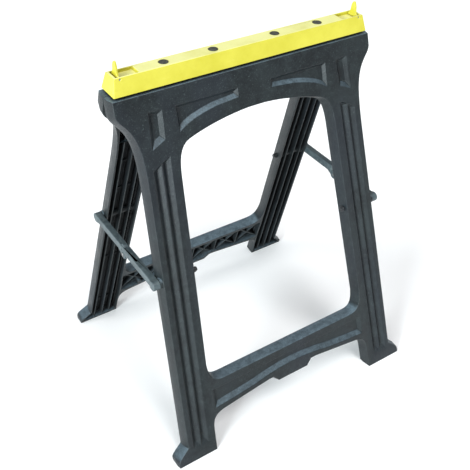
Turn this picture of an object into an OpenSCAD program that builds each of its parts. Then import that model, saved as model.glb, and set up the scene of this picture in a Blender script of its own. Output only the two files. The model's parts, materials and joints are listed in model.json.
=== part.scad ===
// Folding sawhorse: two identical moulded A-frames on a common hinge rod,
// a bevelled top rail with flip-up end stops, and a folding brace on each side.
// X runs along the top rail, Y from the front frame to the rear frame, Z is up.
// The origin is on the ground, under the middle of the top rail.

/* [Stance] */
// Height of the work surface above the ground
work_h = 760; // [740:1:780]
// Distance between the outer faces of the two frames at the ground
spread = 516.2; // [512:0.1:520]
// Width over the toes of the feet
foot_w = 605.8; // [602:0.1:609]

/* [Top rail] */
// Length of the rail at its lower edge
cap_l = 546.4; // [542:0.1:549]
// Width of the rail at its lower edge
cap_w = 48.6; // [47:0.1:49.6]
// Width of the rail's top surface
cap_top_w = 32; // [31:0.1:34]
// Height of the rail
cap_h = 31.1; // [30:0.1:33]
// Wall thickness of the rail
cap_wall = 3.2; // [2.8:0.1:3.6]
// Diameter of the grip studs
stud_d = 17.5; // [16:0.1:18]

/* [Frames] */
// Depth of the frame mouldings
frame_d = 28; // [26:0.1:28.2]
// Thickness of the front skin
skin = 3.4; // [3:0.1:5]
// Thickness of the rim walls
rim = 3.6; // [3.4:0.1:4.5]
// Depth of the recesses in the front face
pocket_d = 6.5; // [5:0.1:7]

/* [Braces] */
// Height of a brace bar
bar_h = 17; // [16:0.1:18]
// Thickness of a brace bar
bar_t = 13; // [12.6:0.1:13.4]
// Diameter of the pivot pins in the legs
pin_d = 8; // [7.6:0.1:8.4]
// Diameter of the knee pins
knee_d = 6; // [5.6:0.1:6.4]

/* [Hidden] */

$fn = 48;

yellow = [0.93, 0.90, 0.22];
char = [0.19, 0.21, 0.23];
link_c = [0.33, 0.39, 0.41];
steel = [0.68, 0.69, 0.70];
black = [0.07, 0.07, 0.08];
olive = [0.28, 0.28, 0.24];

frame_top = work_h - 35.7;                       // height of the frames' top ledge
y_foot = spread / 2;                             // outer face at the ground
y_top = 26.5;                                    // outer face at the ledge
tilt = atan((y_foot - y_top) / frame_top);       // lean of each frame
tv = frame_top / cos(tilt);                      // length of the frame along its face
hz = frame_top - 12.3;                           // height of the hinge rod
rod_r = 4;
rod_fit = 4.06;
knuckle_r = 8.5;
knuckle_l = 20;
front_knuckles = [232, 92, -68, -208];           // centres of the front frame's knuckles
rear_knuckles = [-232, -92, 68, 208];
saddle_x = [-253, -150, 0, 150, 253];
saddle_l = 13;
cap_z0 = work_h - cap_h;

stop_x = 256;                                    // pivot line of the end stops
stop_z = work_h - 3.4;

px = 259.6;                                      // inner plane of the brace bars
piv_y = 121.5;                                   // leg pivots
piv_z = 388;
knee_z = 377;
bar_z = 388;                                     // centre line of the bars

// ---------- helpers ----------
function cb(a, b, c, d, n) = [for (i = [0 : n - 1]) let (t = i / n)
    a * pow(1 - t, 3) + 3 * b * t * pow(1 - t, 2) + 3 * c * t * t * (1 - t) + d * pow(t, 3)];
function rev(l) = [for (i = [len(l) - 1 : -1 : 0]) l[i]];
function flip(l) = [for (p = rev(l)) [-p[0], p[1]]];
// Outline that runs up the right half h and down its mirror image
function sym(h) = concat(h, flip(h));
// Outline between a lower and an upper line with the same number of points, both from left to right
function band(a, b) = concat(a, rev(b));
function lift(l, v) = [for (p = l) [p[0], v]];
function turned(l) = let (n = len(l), c = [for (i = [0 : n - 1]) cross(l[i], l[(i + 1) % n])]) c * [for (x = c) 1];
// Anticlockwise outline moved outwards by d all round
function grow(l, d) = let (n = len(l)) [for (i = [0 : n - 1])
    let (a = l[(i + n - 1) % n], b = l[i], c = l[(i + 1) % n],
         u = (b - a) / norm(b - a), v = (c - b) / norm(c - b),
         p = [u[1], -u[0]], q = [v[1], -v[0]])
    b + d * (p + q) / (1 + p * q)];

// Closed solid through rings of equal length: each ring is [points, height], lowest first.
// Its end faces are strips of quadrilaterals between the two halves of the ring.
module loft(rings) {
    n = len(rings[0][0]);
    m = len(rings);
    t = (m - 1) * n;
    polyhedron(
        points = [for (r = rings) for (p = r[0]) [p[0], p[1], r[1]]],
        faces = concat(
            [for (i = [0 : n / 2 - 2]) [i, i + 1, n - 2 - i, n - 1 - i]],
            [for (i = [0 : n / 2 - 2]) [t + n - 1 - i, t + n - 2 - i, t + i + 1, t + i]],
            [for (k = [0 : m - 2]) for (i = [0 : n - 1]) let (j = (i + 1) % n)
                [k * n + i, (k + 1) * n + i, (k + 1) * n + j]],
            [for (k = [0 : m - 2]) for (i = [0 : n - 1]) let (j = (i + 1) % n)
                [k * n + i, (k + 1) * n + j, k * n + j]]),
        convexity = 10);
}
// Pocket with sloped walls, cut down from the face at height 0
module pocket(outer, inner, d) {
    loft([[inner, -d], [outer, 0], [outer, 1]]);
}
module xcyl(r, x0, x1) translate([x0, 0, 0]) rotate([0, 90, 0]) cylinder(r = r, h = x1 - x0);
module both() { children(); mirror([1, 0, 0]) children(); }

// ---------- the frame moulding ----------
// Local axes: X across, Y along the face from the ground line, Z out of the face.
// The face is at Z = 0 and the open back at Z = -frame_d.

// Right half of the outer outline, from the ground up
outer_half = rev(concat(
    [[277, tv + 14]],
    cb([278, tv - 24], [275, tv - 45], [244.6, tv - 46], [243.4, tv - 118], 12),
    [[243.4, tv - 118], [243.2, tv - 142], [244.2, tv - 172], [245.8, tv - 203], [274.4, 37], [291.5, 22.8]],
    cb([293.2, 21.4], [298.6, 17], [foot_w / 2 - 2, 12.5], [foot_w / 2 - 2, 5.5], 4),
    [[foot_w / 2 - 2, 5.5], [foot_w / 2 - 2, -6]]));
// Right half of the window, from its sill up
win_half = rev(concat(
    [for (p = cb([0, tv - 72.8], [50, tv - 73.4], [110, tv - 83.4], [149, tv - 96.9], 9)) if (p[0] > 1) p],
    cb([149, tv - 96.9], [168, tv - 103.4], [174.6, tv - 124.4], [176.9, tv - 154.4], 7),
    [[176.9, tv - 154.4]],
    cb([200.4, 205], [198.8, 170], [190, 161], [164, 161], 8),
    [[164, 161]]));
// Lower edge of the crossbar and inner sides of the feet, right half from the middle out
gap_half = concat([[38, 88], [51, 101.8], [64, 101.8], [116, 95.5], [171, 89.3]],
    [for (p = rev(cb([209.2, 50], [207.6, 78], [200, 86.5], [171, 89.3], 8))) if (p[0] > 172) p],
    [[212, -3]]);
gap_edge = concat(flip(gap_half), gap_half);
gap_ring = band(lift(gap_edge, -30), gap_edge);
function leg_c(v) = 248 - 0.0585 * v;            // centre line of the leg recess
leg_a = atan(0.0585);

// The sides flare by 4.5 mm over the first 17 mm of depth, then run straight back
module skin_body() {
    outer = sym(outer_half);
    win = sym(win_half);
    difference() {
        loft([[grow(outer, 4.5), -frame_d], [grow(outer, 4.5), -17], [outer, 0]]);
        loft([[grow(win, -3.5), -frame_d - 1], [grow(win, -3.5), -17], [win, 0], [win, 1]]);
        loft([[grow(gap_ring, -3.2), -frame_d - 1], [grow(gap_ring, -3.2), -17], [gap_ring, 0], [gap_ring, 1]]);
    }
}
// Twin grooves down a leg, with ends that slope out to the face
module leg_recess() {
    intersection() {
        translate([leg_c(20), 20, 0]) rotate([0, 0, leg_a]) translate([0, 640, 0]) rotate([90, 0, 0])
            linear_extrude(640) polygon([[-18.3, 1], [-18.3, 0], [-9.9, -pocket_d], [-8.3, -pocket_d],
                [-0.8, -0.5], [0.8, -0.5], [8.3, -pocket_d], [9.9, -pocket_d], [18.3, 0], [18.3, 1]]);
        translate([180, 0, 0]) rotate([90, 0, 90])
            linear_extrude(120) polygon([[30, 1.5], [30, 0], [43, -pocket_d - 0.2], [700, -pocket_d - 0.2], [700, 1.5]]);
        translate([208.5, tv - 124, 0]) rotate([0, 0, -27]) translate([-80, 0, 0]) rotate([90, 0, 90])
            linear_extrude(520) polygon([[-760, 1.6], [-760, -pocket_d - 0.3], [-6, -pocket_d - 0.3], [0, 0], [0, 1.6]]);
    }
}
module face_recesses() {
    b = tv - 760.4;
    both() leg_recess();
    both() pocket([[191.5, 728 + b], [195.5, 674.5 + b], [224.5, 661 + b], [219, 730 + b]],
                  [[199.5, 721 + b], [202.5, 683 + b], [215, 677 + b], [211.5, 722.5 + b]], pocket_d);
    tri_o = [[36, 710.5 + b], [87, 706.5 + b], [112, 701.5 + b], [134, 695.5 + b], [152, 688 + b], [166, 679 + b]];
    tri_i = [[43, 718.5 + b], [88, 714.8 + b], [113.5, 709.8 + b], [136, 703.7 + b], [152, 697 + b], [160, 692 + b]];
    both() pocket(band(tri_o, lift(tri_o, 728 + b)), band(tri_i, lift(tri_i, 722 + b)), pocket_d);
    bar_o = [[30, 117.8], [66, 114], [100, 107.8], [144, 103.2], [198.5, 98.8]];
    bar_i = [[30, 128.9], [67, 125], [101, 119], [144, 114.5], [190, 110.5]];
    low_o = concat(flip(bar_o), [[0, 119]], bar_o);
    low_i = concat(flip(bar_i), [[0, 130]], bar_i);
    pocket(band(low_o, lift(low_o, 143.5)), band(low_i, lift(low_i, 139.5)), pocket_d);
}
// Voids behind the skin, opening at the back
module back_void(pts) {
    translate([0, 0, -frame_d - 1]) linear_extrude(frame_d - 14) polygon(pts);
    translate([0, 0, -15.5]) linear_extrude(15.5 - skin) polygon(grow(turned(pts) > 0 ? pts : rev(pts), -3.2));
}
module back_voids() {
    b = tv - 760.4;
    r = rim;
    // legs
    both() difference() {
        back_void(concat([[184 + r + 24.5, 14], [209.5 + r - 3.5, 30], [204.5 + r - 3.5, 100], [203 + r - 3.5, 161 - r]],
            [[196.6 + r, 206], [175 + r, 600 + b], [174 + r, 636 + b]],
            [[243.4 + 4.5 - r, 642.4 + b], [243.2 + 4.5 - r, 618.4 + b], [245.8 + 4.5 - r, 557.4 + b],
             [274.4 + 4.5 - r, 39], [289, 26], [296, 14]]));
        // backing of the twin grooves
        translate([leg_c(20), 20, -10]) rotate([0, 0, leg_a]) translate([-21, -10, 0]) cube([42, 630, 12]);
        // lengthwise ribs
        for (s = [-20, 0, 20]) translate([leg_c(20) + s, 20, -frame_d + (s == 0 ? 1.5 : 3)])
            rotate([0, 0, leg_a]) translate([-1.2, -10, 0]) cube([2.4, 640, frame_d]);
        // cross webs
        for (v = [70, 250, 330, 490, 570]) translate([leg_c(v) - 40, v - 1.2, -frame_d + 15]) cube([80, 2.4, frame_d]);
        // tube around the brace pivot
        translate([0, 411.2, -12]) xcyl(7.5, 180, 262);
        translate([180, 411.2 - 1.5, -12]) cube([80, 3, 12]);
    }
    // shoulders, outside the arch
    both() difference() {
        back_void([[174.2 + r, 640 + b], [150, 672 + b], [150, tv + 5 - r], [273 - 0, tv + 5 - r], [275 - r, tv - 30], [262 - 3, tv - 46 + 3.5], [249, tv - 64], [244.5, tv - 82], [243.5, 642.4 + b]]);
        translate([0, 0, -pocket_d - 3.2]) linear_extrude(20) polygon([[188, 731 + b], [192, 672 + b], [228, 657 + b], [223, 733 + b]]);
        translate([0, 0, -pocket_d - 3.2]) linear_extrude(20) polygon([[140, 732 + b], [140, 690 + b], [170, 674 + b], [170, 732 + b]]);
        translate([180, 0, -frame_d + 3]) rotate([0, 0, 0]) translate([-1.2, 600, 0]) cube([2.4, 200, frame_d]);
        translate([228, 600, -frame_d + 3]) cube([2.4, 200, frame_d]);
        translate([150, 700 + b, -frame_d + 6]) rotate([0, 0, -18]) cube([120, 2.4, frame_d]);
    }
    // beam above the window
    difference() {
        back_void([[-148, 676 + b], [-146, tv + 5 - r], [146, tv + 5 - r], [148, 676 + b], [118, 683.5 + b], [80, 690.5 + b], [40, 693.8 + b], [0, 694.6 + b], [-40, 693.8 + b], [-80, 690.5 + b], [-118, 683.5 + b]]);
        both() translate([0, 0, -pocket_d - 3.2]) linear_extrude(20) polygon([[33, 731 + b], [33, 700 + b], [87, 696 + b], [134, 686 + b], [150, 678 + b], [150, 731 + b]]);
        for (x = [-115, -38, 38, 115]) translate([x - 1.2, 660, -frame_d + 3]) cube([2.4, 140, frame_d]);
        both() translate([38, 742 + b, -frame_d + 4]) rotate([0, 0, -30]) cube([90, 2.4, frame_d]);
    }
    // crossbar
    difference() {
        back_void([[-199.5, 157], [-199.5, 96], [-171, 93], [-116, 99], [-64, 105.5], [-51, 105.5], [-38, 93], [38, 93], [51, 105.5], [64, 105.5], [116, 99], [171, 93], [199.5, 96], [199.5, 157]]);
        translate([0, 0, -pocket_d - 3.2]) linear_extrude(20) polygon([[-202, 95], [-144, 99], [-100, 103], [-66, 110], [0, 115], [66, 110], [100, 103], [144, 99], [202, 95], [202, 147], [-202, 147]]);
        // crossed diagonal ribs
        for (x = [-165, -99, -33, 33, 99, 165]) translate([x, 127, -frame_d + 5]) for (a = [42, -42])
            rotate([0, 0, a]) translate([-48, -1.2, 0]) cube([96, 2.4, frame_d]);
        for (x = [-132, -66, 0, 66, 132]) translate([x - 1.2, 80, -frame_d + 3]) cube([2.4, 90, frame_d]);
        translate([150, 100, -frame_d]) cylinder(r = 6, h = frame_d);
    }
}
// One frame as it stands at the front
module frame_moulding() {
    difference() {
        union() {
            difference() {
                translate([0, -y_foot, 0]) rotate([90 - tilt, 0, 0]) difference() {
                    skin_body();
                    face_recesses();
                    back_voids();
                }
                // horizontal top ledge, vertical split plane and level feet
                translate([-400, -200, frame_top]) cube([800, 400, 100]);
                translate([-400, -0.6, hz - 30]) cube([800, 100, 200]);
                translate([-400, -400, -60]) cube([800, 600, 60]);
                for (s = [-1, 1]) scale_x(s) translate([foot_w / 2, -400, -1]) cube([20, 600, 60]);
            }
            // top wall of the beam and the solid blocks that carry the knuckles
            translate([-272, -25.2, frame_top - 3.6]) cube([544, 24.6, 3.6]);
            for (x = front_knuckles) {
                translate([x - knuckle_l / 2, -23.5, hz - 9]) cube([knuckle_l, 22.9, 20]);
                translate([0, 0, hz]) xcyl(knuckle_r, x - knuckle_l / 2, x + knuckle_l / 2);
            }
            // seats of the braces on the outer sides of the legs
            for (s = [-1, 1]) scale_x(s) translate([0, -piv_y, piv_z]) xcyl(11, 250, px - 0.3);
        }
        // clearance for the other frame's knuckles and the hinge saddles
        for (x = rear_knuckles) translate([0, 0, hz]) xcyl(knuckle_r + 0.6, x - knuckle_l / 2 - 1, x + knuckle_l / 2 + 1);
        for (x = saddle_x) {
            e = abs(x) > 200 ? 1 : 0;
            translate([x - saddle_l / 2 - 1 - (x < 0 ? 6.5 * e : 0), -10.5, hz - 11.5]) cube([saddle_l + 2 + 6.5 * e, 20, 40]);
        }
        // bore of the hinge rod
        translate([0, 0, hz]) xcyl(rod_fit, -268, 268);
        // bores of the brace pivots
        for (s = [-1, 1]) scale_x(s) translate([0, -piv_y, piv_z]) xcyl(pin_d / 2 + 0.05, 170, 275);
    }
}
module scale_x(s) { if (s < 0) mirror([1, 0, 0]) children(); else children(); }

module front_frame() { color(char) frame_moulding(); }
module rear_frame() { color(char) rotate([0, 0, 180]) frame_moulding(); }

// ---------- top rail ----------
module rail_block(w0, w1, l0, l1, h) {
    intersection() {
        translate([-l0 / 2 - 1, 0, 0]) rotate([90, 0, 90]) linear_extrude(l0 + 2)
            polygon([[-w0 / 2, 0], [w0 / 2, 0], [w1 / 2, h], [-w1 / 2, h]]);
        translate([0, w0 / 2 + 1, 0]) rotate([90, 0, 0]) linear_extrude(w0 + 2)
            polygon([[-l0 / 2, 0], [l0 / 2, 0], [l1 / 2, h], [-l1 / 2, h]]);
    }
}
stud_x = [-166, -66.5, 66.5, 166];
module top_rail() {
    color(yellow) difference() {
        union() {
            difference() {
                translate([0, 0, cap_z0]) rail_block(cap_w, cap_top_w, cap_l, cap_l - 13, cap_h);
                translate([0, 0, cap_z0 - 1]) rail_block(cap_w - 2 * cap_wall + 0.5, cap_top_w - 2 * cap_wall + 0.5, cap_l - 2 * cap_wall + 0.5, cap_l - 13 - 2 * cap_wall + 0.5, cap_h - cap_wall + 1);
            }
            intersection() {
                translate([0, 0, cap_z0 + 0.5]) rail_block(cap_w - 3, cap_top_w - 3, cap_l - 3, cap_l - 16, cap_h - 1);
                union() {
                    // cross ribs
                    for (x = [-226, -190, -118, -92, -40, 40, 92, 118, 190, 226])
                        translate([x - 1.2, -40, cap_z0 + 3]) cube([2.4, 80, 60]);
                    // lengthwise rib
                    translate([-215, -1.2, cap_z0 + 14]) cube([430, 2.4, 60]);
                    // blocks under the end stop recesses
                    for (s = [-1, 1]) scale_x(s) translate([215, -40, work_h - 9.5]) cube([60, 80, 20]);
                    // screw bosses over the saddles
                    for (x = saddle_x) for (d = [-11, 11]) translate([x + d, 0, cap_z0 + 11.3]) cylinder(r = 4.6, h = 30);
                }
            }
            // sockets of the grip studs
            for (x = stud_x) translate([x, 0, work_h - 9]) cylinder(r = 7, h = 7);
        }
        // end stop recesses
        for (s = [-1, 1]) scale_x(s) {
            translate([219, -13, work_h - 6.4]) cube([42.5, 26, 20]);
            translate([stop_x, 20, stop_z]) rotate([90, 0, 0]) cylinder(r = 1.55, h = 40);
        }
        // stud counterbores and stem holes
        for (x = stud_x) {
            translate([x, 0, work_h - 2]) cylinder(r = stud_d / 2 + 0.15, h = 10);
            translate([x, 0, work_h - 20]) cylinder(r = 4.1, h = 30);
        }
        // screw holes
        for (x = saddle_x) for (d = [-11, 11]) translate([x + d, 0, cap_z0]) cylinder(r = 1.6, h = 22);
    }
}
module stud(x) {
    color(olive) translate([x, 0, 0]) {
        translate([0, 0, work_h - 2]) cylinder(r = stud_d / 2, h = 2.4);
        translate([0, 0, work_h - 10]) cylinder(r = 4, h = 8);
        translate([0, 0, work_h - 11]) cylinder(r1 = 3.2, r2 = 4.05, h = 1.2);
    }
}
module grip_stud_1() stud(stud_x[0]);
module grip_stud_2() stud(stud_x[1]);
module grip_stud_3() stud(stud_x[2]);
module grip_stud_4() stud(stud_x[3]);

// End stop standing up: a flat flap with a flared foot, pivoting inboard about Y
module end_stop() {
    h = 23.5 + 3.4;
    difference() {
        union() {
            translate([stop_x - 2, 0, stop_z]) rotate([90, 0, 90]) linear_extrude(4)
                polygon(concat([[-12, 0]], [[12, 0]],
                    cb([12, 2.4], [7.6, 4.5], [6.8, 9], [6.4, 15], 7),
                    cb([6.4, 15], [6, 19.5], [3.2, h - 1], [0.6, h], 7),
                    [[0.6, h], [-0.6, h]],
                    rev([for (p = cb([6.4, 15], [6, 19.5], [3.2, h - 1], [0.6, h], 7)) [-p[0], p[1]]]),
                    rev([for (p = cb([12, 2.4], [7.6, 4.5], [6.8, 9], [6.4, 15], 7)) [-p[0], p[1]]])));
            translate([stop_x, 12.5, stop_z]) rotate([90, 0, 0]) cylinder(r = 2.8, h = 25);
        }
        translate([stop_x, 20, stop_z]) rotate([90, 0, 0]) cylinder(r = 1.55, h = 40);
    }
}
module end_stop_right() { color(yellow) end_stop(); }
module end_stop_left() { color(yellow) mirror([1, 0, 0]) end_stop(); }
module stop_pin() translate([stop_x, 16.2, stop_z]) rotate([90, 0, 0]) cylinder(r = 1.5, h = 32.4);
module end_stop_pin_right() { color(steel) stop_pin(); }
module end_stop_pin_left() { color(steel) mirror([1, 0, 0]) stop_pin(); }

// ---------- hinge ----------
module hinge_saddles() {
    color(black) for (x = saddle_x) difference() {
        union() {
            // flange, kept inside the rail's end walls
            translate([max(x - 17, -267.3), -16, cap_z0 + 7.2])
                cube([min(x + 17, 267.3) - max(x - 17, -267.3), 32, 4]);
            translate([x - saddle_l / 2, -8, hz]) cube([saddle_l, 16, cap_z0 + 9 - hz]);
            translate([0, 0, hz]) xcyl(8, x - saddle_l / 2, x + saddle_l / 2);
        }
        translate([0, 0, hz]) xcyl(4.05, x - 20, x + 20);
        for (d = [-11, 11]) translate([x + d, 0, cap_z0]) cylinder(r = 1.9, h = 30);
    }
}
module saddle_screws() {
    color(steel) for (x = saddle_x) for (d = [-11, 11]) translate([x + d, 0, cap_z0 + 4.9]) {
        cylinder(r = 3.4, h = 2.2);
        cylinder(r = 1.5, h = 15);
    }
}
module hinge_rod() { color(steel) translate([0, 0, hz]) xcyl(rod_r, -264, 264); }
module rod_caps() {
    color(black) translate([0, 0, hz]) both() difference() {
        xcyl(6.5, 260, 265.5);
        xcyl(4.04, 259, 264.1);
    }
}

// ---------- braces ----------
// Links are built on the right side; the knee pin line is at Y = 0
ear_t = 3.5;
module bar_side(y0, y1) translate([px, y0, bar_z - bar_h / 2]) cube([bar_t, y1 - y0, bar_h]);
module rear_link() {
    difference() {
        union() {
            bar_side(8.4, piv_y);
            translate([0, piv_y, piv_z]) xcyl(10.2, px, px + bar_t + 1.2);
            // fork ears around the knee pin
            for (e = [[px, px + ear_t], [px + bar_t - ear_t, px + bar_t]]) {
                translate([0, 0, knee_z]) xcyl(10, e[0], e[1]);
                translate([e[0], 0, knee_z]) rotate([90, 0, 90]) linear_extrude(e[1] - e[0])
                    polygon([[0, 10], [8.5, 18], [22, 18], [22, 3], [15, -0.1], [9, -3.6], [0, 0]]);
            }
            // rounded underside that runs into the lobe
            translate([px, 0, knee_z]) rotate([90, 0, 90]) linear_extrude(bar_t)
                polygon([[10.9, 6], [30, 6], [20, 2.6], [15.5, -1], [10.9, -1]]);
        }
        // room for the tongue
        translate([px + ear_t, 0, knee_z]) rotate([0, 90, 0]) cylinder(r = 10.8, h = bar_t - 2 * ear_t);
        translate([px + ear_t, -12, knee_z - 2]) cube([bar_t - 2 * ear_t, 20.4, 30]);
        // clearance round the ears for the end of the front link
        difference() {
            translate([px - 1, -20, knee_z + 2]) cube([bar_t + 2, 28.4, 20]);
            translate([0, 0, knee_z]) xcyl(10.2, px - 2, px + bar_t + 3);
        }
        translate([0, 0, knee_z]) xcyl(knee_d / 2 + 0.05, px - 1, px + bar_t + 2);
        translate([0, piv_y, piv_z]) xcyl(pin_d / 2 + 0.03, px - 1, px + 9.5);
    }
}
module front_link() {
    difference() {
        union() {
            bar_side(-piv_y, 8);
            translate([0, -piv_y, piv_z]) xcyl(10.2, px, px + bar_t + 1.2);
            translate([0, 0, knee_z]) xcyl(9.8, px + ear_t + 0.3, px + bar_t - ear_t - 0.3);
            // lifting tab on top of the knee
            translate([px + 2, 0, bar_z + bar_h / 2 - 1]) rotate([90, 0, 90]) linear_extrude(bar_t - 4)
                polygon([[-6, 0], [7, 0], [6.5, 3.2], [3, 4.8], [-1.5, 4.2]]);
        }
        // room for the ears on both sides of the tongue
        for (e = [[px - 1, px + ear_t + 0.3], [px + bar_t - ear_t - 0.3, px + bar_t + 3]])
            translate([0, 0, knee_z]) xcyl(10.6, e[0], e[1]);
        translate([0, 0, knee_z]) xcyl(knee_d / 2 + 0.05, px - 1, px + bar_t + 2);
    }
}
module knee_pin() {
    translate([0, 0, knee_z]) {
        xcyl(knee_d / 2, px - 0.1, px + bar_t + 0.2);
        xcyl(4.4, px + bar_t + 0.05, px + bar_t + 1.6);
    }
}
module pivot_pin_rear() translate([0, piv_y, piv_z]) xcyl(pin_d / 2, 177.5, px + 9);
module pivot_pin_front() translate([0, -piv_y, piv_z]) xcyl(pin_d / 2, 177.5, px - 0.3);
module pin_clip(y) translate([0, y, piv_z]) difference() {
    union() { xcyl(6, 182.4, 184.6); xcyl(5.2, 179.6, 182.4); }
    xcyl(pin_d / 2 + 0.03, 170, 190);
}

module right_rear_link() { color(link_c) rear_link(); }
module right_front_link() { color(link_c) front_link(); }
module left_rear_link() { color(link_c) mirror([1, 0, 0]) rear_link(); }
module left_front_link() { color(link_c) mirror([1, 0, 0]) front_link(); }
module right_knee_pin() { color(steel) knee_pin(); }
module left_knee_pin() { color(steel) mirror([1, 0, 0]) knee_pin(); }
module right_rear_pivot_pin() { color(black) pivot_pin_rear(); }
module left_rear_pivot_pin() { color(black) mirror([1, 0, 0]) pivot_pin_rear(); }
module right_front_pivot_pin() { color(black) pivot_pin_front(); }
module left_front_pivot_pin() { color(black) mirror([1, 0, 0]) pivot_pin_front(); }
module right_rear_pin_clip() { color(black) pin_clip(piv_y); }
module left_rear_pin_clip() { color(black) mirror([1, 0, 0]) pin_clip(piv_y); }
module right_front_pin_clip() { color(black) pin_clip(-piv_y); }
module left_front_pin_clip() { color(black) mirror([1, 0, 0]) pin_clip(-piv_y); }

top_rail();
grip_stud_1();
grip_stud_2();
grip_stud_3();
grip_stud_4();
end_stop_left();
end_stop_right();
end_stop_pin_left();
end_stop_pin_right();
hinge_saddles();
saddle_screws();
hinge_rod();
rod_caps();
front_frame();
rear_frame();
left_rear_link();
left_front_link();
right_rear_link();
right_front_link();
left_knee_pin();
right_knee_pin();
left_rear_pivot_pin();
right_rear_pivot_pin();
left_front_pivot_pin();
right_front_pivot_pin();
left_rear_pin_clip();
right_rear_pin_clip();
left_front_pin_clip();
right_front_pin_clip();
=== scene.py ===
import json
import math

import bmesh
import bpy
from mathutils import Matrix, Vector


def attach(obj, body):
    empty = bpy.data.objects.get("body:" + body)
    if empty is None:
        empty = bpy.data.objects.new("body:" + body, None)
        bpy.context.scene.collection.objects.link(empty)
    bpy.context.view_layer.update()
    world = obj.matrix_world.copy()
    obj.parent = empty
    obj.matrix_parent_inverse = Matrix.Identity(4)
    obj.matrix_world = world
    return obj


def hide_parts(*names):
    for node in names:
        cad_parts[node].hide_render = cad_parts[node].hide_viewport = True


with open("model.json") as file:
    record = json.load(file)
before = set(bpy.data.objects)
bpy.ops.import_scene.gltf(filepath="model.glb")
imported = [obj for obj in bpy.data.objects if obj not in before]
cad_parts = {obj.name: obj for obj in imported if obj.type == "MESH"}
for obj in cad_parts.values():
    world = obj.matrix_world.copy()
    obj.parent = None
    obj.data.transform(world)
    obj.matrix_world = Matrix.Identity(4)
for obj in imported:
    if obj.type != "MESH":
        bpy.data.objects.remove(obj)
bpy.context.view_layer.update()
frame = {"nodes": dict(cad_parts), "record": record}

scene = bpy.context.scene
NODES = frame["nodes"]
record = frame["record"]
SLOT = {s["node"]: s["material_slot"] for s in record["subparts"]}
BODY = {n: b for b, ns in record["behaviour"]["bodies"].items() for n in ns}


# ---------- node helpers ----------
class Tree:
    def __init__(self, name):
        self.mat = bpy.data.materials.new(name)
        self.mat.use_nodes = True
        self.t = self.mat.node_tree
        self.t.nodes.clear()
        self.out = self.add("ShaderNodeOutputMaterial")
        self.bsdf = self.add("ShaderNodeBsdfPrincipled")
        self.link(self.bsdf.outputs[0], self.out.inputs[0])
        self.coord = self.add("ShaderNodeTexCoord").outputs["Object"]

    def add(self, kind, **props):
        n = self.t.nodes.new(kind)
        for k, v in props.items():
            setattr(n, k, v)
        return n

    def link(self, a, b):
        self.t.links.new(a, b)

    def put(self, socket, value):
        if isinstance(value, bpy.types.NodeSocket):
            self.link(value, socket)
        else:
            socket.default_value = value

    def scaled(self, scale, rot=(0, 0, 0)):
        m = self.add("ShaderNodeMapping")
        self.link(self.coord, m.inputs["Vector"])
        m.inputs["Scale"].default_value = scale
        m.inputs["Rotation"].default_value = rot
        return m.outputs[0]

    def noise(self, scale, detail=3.0, rough=0.55, vec=None, distort=0.0):
        n = self.add("ShaderNodeTexNoise")
        self.link(vec or self.coord, n.inputs["Vector"])
        n.inputs["Scale"].default_value = scale
        n.inputs["Detail"].default_value = detail
        n.inputs["Roughness"].default_value = rough
        n.inputs["Distortion"].default_value = distort
        return n.outputs["Fac"]

    def ramp(self, fac, lo, hi, a=0.0, b=1.0):
        n = self.add("ShaderNodeMapRange", interpolation_type="SMOOTHSTEP")
        self.link(fac, n.inputs["Value"])
        n.inputs["From Min"].default_value = lo
        n.inputs["From Max"].default_value = hi
        n.inputs["To Min"].default_value = a
        n.inputs["To Max"].default_value = b
        return n.outputs["Result"]

    def math(self, op, a, b=0.0, clamp=False):
        n = self.add("ShaderNodeMath", operation=op, use_clamp=clamp)
        self.put(n.inputs[0], a)
        self.put(n.inputs[1], b)
        return n.outputs[0]

    def mix(self, fac, a, b, blend="MIX"):
        n = self.add("ShaderNodeMix", data_type="RGBA", blend_type=blend)
        self.put(n.inputs[0], fac)
        for i, v in ((6, a), (7, b)):
            self.put(n.inputs[i], (*v, 1.0) if isinstance(v, tuple) and len(v) == 3 else v)
        return n.outputs[2]

    def normal(self, axis):
        """One axis of the surface's direction, in the part's own frame."""
        co = self.add("ShaderNodeTexCoord")
        sep = self.add("ShaderNodeSeparateXYZ")
        self.link(co.outputs["Normal"], sep.inputs[0])
        return sep.outputs[axis]

    def edge(self, radius, lo, hi):
        """1 on outward and inward edges, from the rounded normal against the true one."""
        bev = self.add("ShaderNodeBevel", samples=6)
        bev.inputs["Radius"].default_value = radius
        geo = self.add("ShaderNodeNewGeometry")
        dot = self.add("ShaderNodeVectorMath", operation="DOT_PRODUCT")
        self.link(bev.outputs[0], dot.inputs[0])
        self.link(geo.outputs["Normal"], dot.inputs[1])
        return self.ramp(self.math("SUBTRACT", 1.0, dot.outputs["Value"]), lo, hi)

    def hollow(self, distance, lo, hi):
        """1 down in corners and voids, from ambient occlusion; it masks painted shade."""
        ao = self.add("ShaderNodeAmbientOcclusion", samples=6)
        ao.inputs["Distance"].default_value = distance
        return self.ramp(ao.outputs["AO"], lo, hi, 1.0, 0.0)

    def bump(self, layers, round_radius=None):
        prev = None
        if round_radius:
            bev = self.add("ShaderNodeBevel", samples=6)
            bev.inputs["Radius"].default_value = round_radius
            prev = bev.outputs[0]
        for height, strength, dist in layers:
            b = self.add("ShaderNodeBump")
            b.inputs["Strength"].default_value = strength
            b.inputs["Distance"].default_value = dist
            self.link(height, b.inputs["Height"])
            if prev is not None:
                self.link(prev, b.inputs["Normal"])
            prev = b.outputs[0]
        self.link(prev, self.bsdf.inputs["Normal"])


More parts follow.
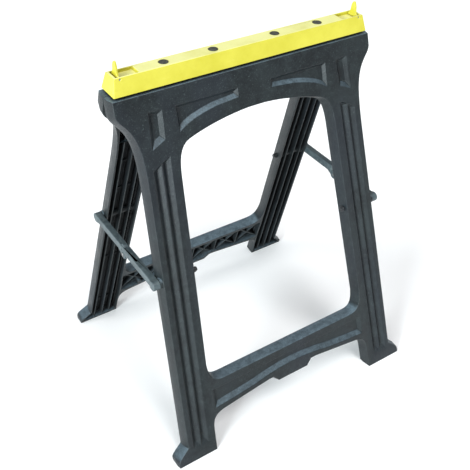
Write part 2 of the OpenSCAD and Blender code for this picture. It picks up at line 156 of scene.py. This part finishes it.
def frame_plastic():
    """Dark slate polypropylene: blotchy, finely pitted, paler along its edges from wear and a painted edge
    highlight, paler bluish on upward faces from dust and painted top light, and darkened in its hollows by painted
    shade.
    """
    t = Tree("frame_plastic")
    blotch = t.noise(17, 5, 0.62, distort=0.6)
    mottle = t.noise(85, 5, 0.66)
    speck = t.noise(420, 3, 0.6)
    grain = t.noise(1500, 2, 0.5)
    flow = t.noise(9, 3, 0.5, vec=t.scaled((1.0, 1.0, 0.22)))
    col = t.mix(t.ramp(blotch, 0.36, 0.66), (0.0042, 0.0066, 0.0082), (0.0092, 0.0138, 0.0155))
    col = t.mix(t.math("MULTIPLY", t.ramp(mottle, 0.42, 0.70), 0.40), col, (0.019, 0.027, 0.029))
    col = t.mix(t.math("MULTIPLY", t.ramp(flow, 0.42, 0.70), 0.55), col, (0.010, 0.0135, 0.0205))
    col = t.mix(t.math("MULTIPLY", t.ramp(speck, 0.56, 0.72), 0.42), col, (0.070, 0.090, 0.090))
    # Edges painted paler: partly rubbed wear, partly a painted edge highlight.
    wear = t.math("MULTIPLY", t.edge(0.0016, 0.01, 0.16), t.ramp(mottle, 0.34, 0.58, 0.25, 1.0))
    col = t.mix(t.math("MULTIPLY", wear, 0.65), col, (0.120, 0.142, 0.140))
    # Upward faces painted pale blue: partly dust, partly painted top light and painted sky reflection.
    dust = t.math("MULTIPLY", t.ramp(t.normal("Z"), 0.46, 0.99), t.ramp(mottle, 0.30, 0.62, 0.50, 1.0))
    dust = t.math("MULTIPLY", dust, t.ramp(speck, 0.38, 0.60, 0.62, 1.0))
    col = t.mix(t.math("MULTIPLY", dust, 0.90), col, (0.122, 0.170, 0.204))
    # Painted shade: corners and voids darkened toward near-black from ambient occlusion.
    painted_hollow_shade = t.math("MULTIPLY", t.hollow(0.055, 0.16, 0.66), 0.95)
    col = t.mix(painted_hollow_shade, col, (0.0035, 0.0040, 0.0048))
    t.link(col, t.bsdf.inputs["Base Color"])
    rough = t.ramp(blotch, 0.3, 0.7, 0.38, 0.52)
    rough = t.math("ADD", rough, t.ramp(speck, 0.4, 0.7, -0.05, 0.08))
    rough = t.math("ADD", rough, t.math("MULTIPLY", painted_hollow_shade, 0.25), clamp=True)
    t.link(rough, t.bsdf.inputs["Roughness"])
    t.bsdf.inputs["Specular IOR Level"].default_value = 0.33
    t.bump([(mottle, 0.50, 0.0008), (speck, 0.75, 0.0005), (grain, 0.45, 0.00020)], 0.0009)
    return t.mat


def link_plastic():
    """Grey-green moulding of the braces."""
    t = Tree("link_plastic")
    blotch = t.noise(30, 4, 0.6, distort=0.4)
    mottle = t.noise(140, 4, 0.6)
    speck = t.noise(520, 3, 0.6)
    grain = t.noise(1600, 2, 0.5)
    col = t.mix(t.ramp(blotch, 0.35, 0.68), (0.030, 0.045, 0.052), (0.062, 0.085, 0.093))
    col = t.mix(t.math("MULTIPLY", t.ramp(mottle, 0.45, 0.72), 0.5), col, (0.105, 0.132, 0.134))
    col = t.mix(t.math("MULTIPLY", t.ramp(speck, 0.6, 0.75), 0.3), col, (0.022, 0.032, 0.036))
    wear = t.edge(0.0012, 0.01, 0.16)
    col = t.mix(t.math("MULTIPLY", wear, 0.45), col, (0.19, 0.225, 0.22))
    t.link(col, t.bsdf.inputs["Base Color"])
    t.link(t.ramp(mottle, 0.3, 0.7, 0.42, 0.58), t.bsdf.inputs["Roughness"])
    t.bump([(mottle, 0.3, 0.0004), (speck, 0.4, 0.00025), (grain, 0.3, 0.00012)], 0.0009)
    return t.mat


def rail_plastic():
    """Lemon yellow polypropylene, softly satin, with faint scuffs and a fine grain."""
    t = Tree("rail_plastic")
    blotch = t.noise(14, 4, 0.55)
    mottle = t.noise(120, 4, 0.6)
    grain = t.noise(1300, 2, 0.5)
    scuff = t.noise(55, 5, 0.7, vec=t.scaled((0.35, 2.2, 2.0), (0, 0, 0.25)))
    col = t.mix(t.ramp(blotch, 0.34, 0.68), (0.475, 0.425, 0.028), (0.54, 0.488, 0.048))
    col = t.mix(t.math("MULTIPLY", t.ramp(mottle, 0.5, 0.72), 0.22), col, (0.45, 0.385, 0.020))
    col = t.mix(t.math("MULTIPLY", t.ramp(scuff, 0.60, 0.76), 0.22), col, (0.72, 0.70, 0.22))
    # Painted top light: upward faces painted paler yellow.
    painted_top_light = t.math("MULTIPLY", t.ramp(t.normal("Z"), 0.70, 0.97), t.ramp(blotch, 0.30, 0.60, 0.6, 1.0))
    col = t.mix(t.math("MULTIPLY", painted_top_light, 0.80), col, (0.80, 0.79, 0.36))
    wear = t.edge(0.0014, 0.01, 0.18)
    col = t.mix(t.math("MULTIPLY", wear, 0.35), col, (0.76, 0.74, 0.20))
    # Painted shade: creases and recesses darkened toward orange-brown from ambient occlusion.
    painted_crease_shade = t.math("MULTIPLY", t.hollow(0.006, 0.35, 0.9), 0.35)
    col = t.mix(painted_crease_shade, col, (0.42, 0.34, 0.015))
    t.link(col, t.bsdf.inputs["Base Color"])
    rough = t.math("ADD", t.ramp(mottle, 0.3, 0.7, 0.34, 0.44), t.ramp(scuff, 0.55, 0.8, 0.0, 0.12))
    t.link(rough, t.bsdf.inputs["Roughness"])
    t.bsdf.inputs["Subsurface Weight"].default_value = 0.0
    t.bump([(mottle, 0.2, 0.0003), (grain, 0.25, 0.0001)], 0.0010)
    return t.mat


def pin_plastic():
    """Near-black nylon of the saddles, caps and pivot pins."""
    t = Tree("pin_plastic")
    mottle = t.noise(160, 4, 0.6)
    grain = t.noise(1500, 2, 0.5)
    col = t.mix(t.ramp(mottle, 0.4, 0.7), (0.010, 0.011, 0.013), (0.026, 0.028, 0.031))
    col = t.mix(t.math("MULTIPLY", t.edge(0.0008, 0.01, 0.18), 0.5), col, (0.085, 0.090, 0.095))
    t.link(col, t.bsdf.inputs["Base Color"])
    t.link(t.ramp(mottle, 0.3, 0.7, 0.34, 0.5), t.bsdf.inputs["Roughness"])
    t.bump([(mottle, 0.2, 0.0002), (grain, 0.25, 0.0001)], 0.0006)
    return t.mat


def stud_rubber():
    """Dark olive-grey rubber with a dusty bloom."""
    t = Tree("stud_rubber")
    dust = t.noise(220, 5, 0.65)
    grain = t.noise(1400, 3, 0.6)
    col = t.mix(t.ramp(dust, 0.40, 0.72), (0.030, 0.031, 0.024), (0.078, 0.080, 0.062))
    col = t.mix(t.math("MULTIPLY", t.edge(0.0009, 0.01, 0.2), 0.6), col, (0.15, 0.15, 0.12))
    t.link(col, t.bsdf.inputs["Base Color"])
    t.link(t.ramp(dust, 0.3, 0.7, 0.68, 0.88), t.bsdf.inputs["Roughness"])
    t.bump([(dust, 0.3, 0.0003), (grain, 0.5, 0.00015)], 0.0006)
    return t.mat


def steel():
    """Zinc-plated steel, faintly drawn along its length."""
    t = Tree("steel")
    cloud = t.noise(60, 4, 0.6)
    drawn = t.noise(900, 3, 0.6, vec=t.scaled((0.04, 1.0, 1.0)))
    col = t.mix(t.ramp(cloud, 0.35, 0.7), (0.20, 0.205, 0.21), (0.38, 0.38, 0.375))
    t.link(col, t.bsdf.inputs["Base Color"])
    t.bsdf.inputs["Metallic"].default_value = 1.0
    t.link(t.ramp(drawn, 0.3, 0.7, 0.34, 0.52), t.bsdf.inputs["Roughness"])
    t.bump([(drawn, 0.25, 0.00005), (cloud, 0.1, 0.0001)], 0.0004)
    return t.mat


MATS = {
    "frame_plastic": frame_plastic(),
    "link_plastic": link_plastic(),
    "rail_plastic": rail_plastic(),
    "pin_plastic": pin_plastic(),
    "stud_rubber": stud_rubber(),
    "steel": steel(),
}


# ---------- pieces ----------
def rounded(node, width, segments=2, angle=28):
    """A welded copy of a CAD node with its flat faces joined up and its edges rounded, which stands for the node."""
    src = NODES[node]
    bm = bmesh.new()
    bm.from_mesh(src.data)
    bmesh.ops.remove_doubles(bm, verts=bm.verts, dist=2e-6)
    bmesh.ops.dissolve_limit(bm, angle_limit=math.radians(0.6), use_dissolve_boundaries=False,
                             verts=bm.verts, edges=bm.edges, delimit=set())
    bmesh.ops.recalc_face_normals(bm, faces=bm.faces)
    for f in bm.faces:
        f.smooth = True
    for e in bm.edges:
        e.smooth = not (len(e.link_faces) == 2 and e.calc_face_angle(0.0) > math.radians(angle))
    mesh = bpy.data.meshes.new(node + "_moulded")
    bm.to_mesh(mesh)
    bm.free()
    o = bpy.data.objects.new(node + "_moulded", mesh)
    scene.collection.objects.link(o)
    if width:
        b = o.modifiers.new("round", "BEVEL")
        b.width = width
        b.segments = segments
        b.limit_method = "ANGLE"
        b.angle_limit = math.radians(angle)
        b.use_clamp_overlap = False
        b.harden_normals = False
        b.miter_outer = "MITER_SHARP"
    mesh.materials.append(MATS[SLOT[node]])
    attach(o, BODY[node])
    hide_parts(node)
    return o


ROUND = {
    "top_rail": (0.0011, 3), "end_stop_left": (0.0006, 2), "end_stop_right": (0.0006, 2),
    "front_frame": (0.0007, 2), "rear_frame": (0.0007, 2),
    "left_rear_link": (0.0012, 3), "right_rear_link": (0.0012, 3),
    "left_front_link": (0.0012, 3), "right_front_link": (0.0012, 3),
    "hinge_saddles": (0.0006, 2), "rod_caps": (0.0005, 2),
    "grip_stud_1": (0.0007, 3), "grip_stud_2": (0.0007, 3), "grip_stud_3": (0.0007, 3), "grip_stud_4": (0.0007, 3),
    "left_knee_pin": (0.0004, 2), "right_knee_pin": (0.0004, 2),
}
for node, obj in NODES.items():
    if node in ROUND:
        w, seg = ROUND[node]
        rounded(node, w, seg)
    else:
        obj.data.materials.clear()
        obj.data.materials.append(MATS[SLOT[node]])


# ---------- floor, light and camera ----------
def floor():
    bm = bmesh.new()
    bmesh.ops.create_grid(bm, x_segments=2, y_segments=2, size=90)
    mesh = bpy.data.meshes.new("floor")
    bm.to_mesh(mesh)
    bm.free()
    o = bpy.data.objects.new("floor", mesh)
    o.location = (0, 0, -0.0005)
    scene.collection.objects.link(o)
    m = bpy.data.materials.new("floor")
    m.use_nodes = True
    p = m.node_tree.nodes["Principled BSDF"]
    p.inputs["Base Color"].default_value = (0.97, 0.97, 0.97, 1)
    p.inputs["Roughness"].default_value = 0.9
    p.inputs["Specular IOR Level"].default_value = 0.1
    mesh.materials.append(m)


def soft_sun(name, towards, strength, angle, colour=(1, 1, 1)):
    light = bpy.data.lights.new(name, "SUN")
    light.energy = strength
    light.angle = math.radians(angle)
    light.color = colour
    o = bpy.data.objects.new(name, light)
    o.rotation_mode = "QUATERNION"
    o.rotation_quaternion = (-Vector(towards)).to_track_quat("-Z", "Y")
    scene.collection.objects.link(o)


floor()
world = bpy.data.worlds.new("studio")
scene.world = world
world.use_nodes = True
bg = world.node_tree.nodes["Background"]
bg.inputs["Color"].default_value = (0.94, 0.97, 1.0, 1)
bg.inputs["Strength"].default_value = 0.40
soft_sun("left_box", (-0.86, -0.42, 0.20), 4.8, 20, (0.86, 0.97, 1.0))
soft_sun("left_high", (-0.60, -0.05, 0.80), 1.1, 30)
soft_sun("top_box", (0.06, -0.45, 0.89), 1.5, 26)
scene.view_settings.view_transform = "Standard"
scene.view_settings.look = "None"
scene.view_settings.exposure = 0.0

yaw, pitch, roll = 0.6021510584775731, -0.6809816188360971, 0.03158655152813661
fwd = Vector((math.sin(yaw) * math.cos(pitch), math.cos(yaw) * math.cos(pitch), math.sin(pitch)))
right = Vector((math.cos(yaw), -math.sin(yaw), 0.0))
up = right.cross(fwd)
r2 = math.cos(roll) * right + math.sin(roll) * up
u2 = -math.sin(roll) * right + math.cos(roll) * up
cam = bpy.data.cameras.new("camera")
cam.lens = 55.656862575
cam.sensor_width = 36.0
cam.clip_start, cam.clip_end = 0.05, 300.0
cam_obj = bpy.data.objects.new("camera", cam)
scene.collection.objects.link(cam_obj)
place = Matrix((r2, u2, -fwd)).transposed().to_4x4()
place.translation = Vector((-0.7045706, -1.0146950, 1.3110083))
cam_obj.matrix_world = place
scene.camera = cam_obj
